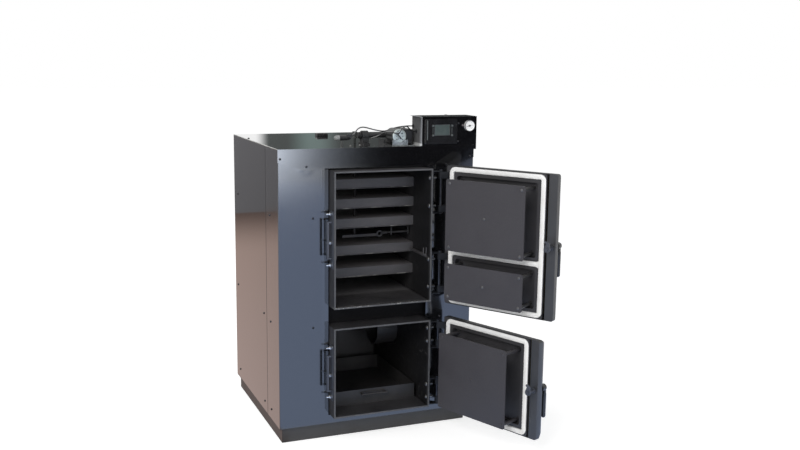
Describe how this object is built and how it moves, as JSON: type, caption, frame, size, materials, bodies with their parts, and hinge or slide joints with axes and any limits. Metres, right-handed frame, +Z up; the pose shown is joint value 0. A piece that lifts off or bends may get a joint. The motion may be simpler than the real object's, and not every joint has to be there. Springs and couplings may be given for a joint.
{
  "type": "pellet boiler",
  "caption": "Free-standing pellet boiler with a tall sheet casing, hinged upper and lower doors standing open, water shelves inside and a control box on top.",
  "frame": {"origin": "middle of the footprint on the floor", "axes": "+Z up, -Y to the front with the doors, +X to the right seen from the front"},
  "size_m": [0.9732, 1.3031, 1.258],
  "materials": {
    "casing_paint": "glossy dark powder coat",
    "boiler_plate": "matt heat-proof black paint",
    "door_paint": "matt dark grey paint",
    "black_paint": "satin black paint",
    "bracket_steel": "dark zinc plating",
    "zinc": "bright zinc plating",
    "galvanised": "bare galvanised sheet",
    "motor_silver": "cast aluminium",
    "rope": "white glass-fibre rope",
    "wool": "mineral wool",
    "black_plastic": "glossy black plastic",
    "dark_plastic": "matt black plastic",
    "lcd": "grey liquid crystal display",
    "white_plastic": "white dial",
    "rubber_black": "black cable sheath",
    "lamp_lens": "clear lens"
  },
  "bodies": {
    "boiler": {"base_tray": "black_paint", "front_plate": "boiler_plate", "upper_chamber": "boiler_plate", "lower_chamber": "boiler_plate", "water_jacket": "boiler_plate", "exchanger_shelves": "boiler_plate", "baffle_rails": "boiler_plate", "flue_collar": "boiler_plate", "pipe_sockets": "zinc", "burner_body": "boiler_plate", "burner_housing": "black_paint", "insulation": "wool", "front_panel": "casing_paint", "side_panels": "casing_paint", "back_panel": "casing_paint", "top_cover": "casing_paint", "casing_screws": "zinc", "hinge_brackets": "bracket_steel", "hinge_pins": "bracket_steel", "catch_brackets": "bracket_steel", "neck_bolts": "zinc", "control_box": "black_paint", "control_side_plate": "galvanised", "cable_grommets": "rubber_black", "display_panel": "dark_plastic", "display_window": "lcd", "gauge_case": "white_plastic", "indicator_lamp": "lamp_lens", "motor_bracket": "zinc", "gear_motor": "motor_silver", "shaft_bearing": "black_paint", "position_sensor": "black_plastic", "drive_leads": "rubber_black", "sensor_cover": "black_plastic"},
    "upper_door": {"upper_door_pan": "door_paint", "upper_door_cover": "door_paint", "upper_door_insulation": "wool", "upper_door_gasket": "rope", "upper_deflectors": "door_paint", "upper_deflector_bolts": "zinc", "upper_hinge_lugs": "bracket_steel"},
    "lower_door": {"lower_door_pan": "door_paint", "lower_door_cover": "door_paint", "lower_door_insulation": "wool", "lower_door_gasket": "rope", "lower_deflector": "door_paint", "lower_deflector_bolts": "zinc", "lower_hinge_lugs": "bracket_steel"},
    "upper_latch": {"upper_latch_hook": "zinc", "upper_handle": "black_plastic"},
    "lower_latch": {"lower_latch_hook": "zinc", "lower_handle": "black_plastic"},
    "button_up_body": {"button_up": "dark_plastic"},
    "button_down_body": {"button_down": "dark_plastic"},
    "button_enter_body": {"button_enter": "dark_plastic"},
    "button_back_body": {"button_back": "dark_plastic"},
    "needle": {"gauge_needle": "dark_plastic"},
    "crankshaft": {"cleaning_shaft": "black_paint"},
    "rake": {"cleaning_rake": "boiler_plate"},
    "pan": {"ash_pan": "boiler_plate"}
  },
  "joints": [
    {"name": "upper_door_hinge", "type": "hinge", "parent": "boiler", "child": "upper_door", "pos_m": [0.2377, -0.4124, 0.795], "axis": [0, 0, 1], "range_deg": [-122.7, 12]},
    {"name": "lower_door_hinge", "type": "hinge", "parent": "boiler", "child": "lower_door", "pos_m": [0.2377, -0.4124, 0.277], "axis": [0, 0, 1], "range_deg": [-112, 12]},
    {"name": "upper_latch_turn", "type": "hinge", "parent": "upper_door", "child": "upper_latch", "pos_m": [0.52778, -0.78909, 0.798], "axis": [-0.8415, -0.5402, 0], "range_deg": [0, 75]},
    {"name": "lower_latch_turn", "type": "hinge", "parent": "lower_door", "child": "lower_latch", "pos_m": [0.45279, -0.8364, 0.277], "axis": [-0.9272, -0.3746, 0], "range_deg": [0, 75]},
    {"name": "button_up_press", "type": "slide", "parent": "boiler", "child": "button_up_body", "axis": [0, 1, 0], "range_m": [0, 0.0015], "stiffness_N_per_m": 300},
    {"name": "button_down_press", "type": "slide", "parent": "boiler", "child": "button_down_body", "axis": [0, 1, 0], "range_m": [0, 0.0015], "stiffness_N_per_m": 300},
    {"name": "button_enter_press", "type": "slide", "parent": "boiler", "child": "button_enter_body", "axis": [0, 1, 0], "range_m": [0, 0.0015], "stiffness_N_per_m": 300},
    {"name": "button_back_press", "type": "slide", "parent": "boiler", "child": "button_back_body", "axis": [0, 1, 0], "range_m": [0, 0.0015], "stiffness_N_per_m": 300},
    {"name": "needle_turn", "type": "hinge", "parent": "boiler", "child": "needle", "pos_m": [0.379, -0.365, 1.216], "axis": [0, 1, 0], "range_deg": [-40, 200]},
    {"name": "cleaning_shaft_turn", "type": "hinge", "parent": "boiler", "child": "crankshaft", "pos_m": [0, -0.224, 1.174], "axis": [1, 0, 0], "range_deg": [-25, 8]},
    {"name": "cleaning_rake_lift", "type": "slide", "parent": "boiler", "child": "rake", "axis": [0, 0, 1], "range_m": [-0.0155, 0.0055]},
    {"name": "ash_pan_slide", "type": "slide", "parent": "boiler", "child": "pan", "axis": [0, -1, 0], "range_m": [0, 0.3]}
  ],
  "couplings": [
    {"joint": "cleaning_rake_lift", "follows": "cleaning_shaft_turn", "m_per_rad": 0.03487}
  ]
}
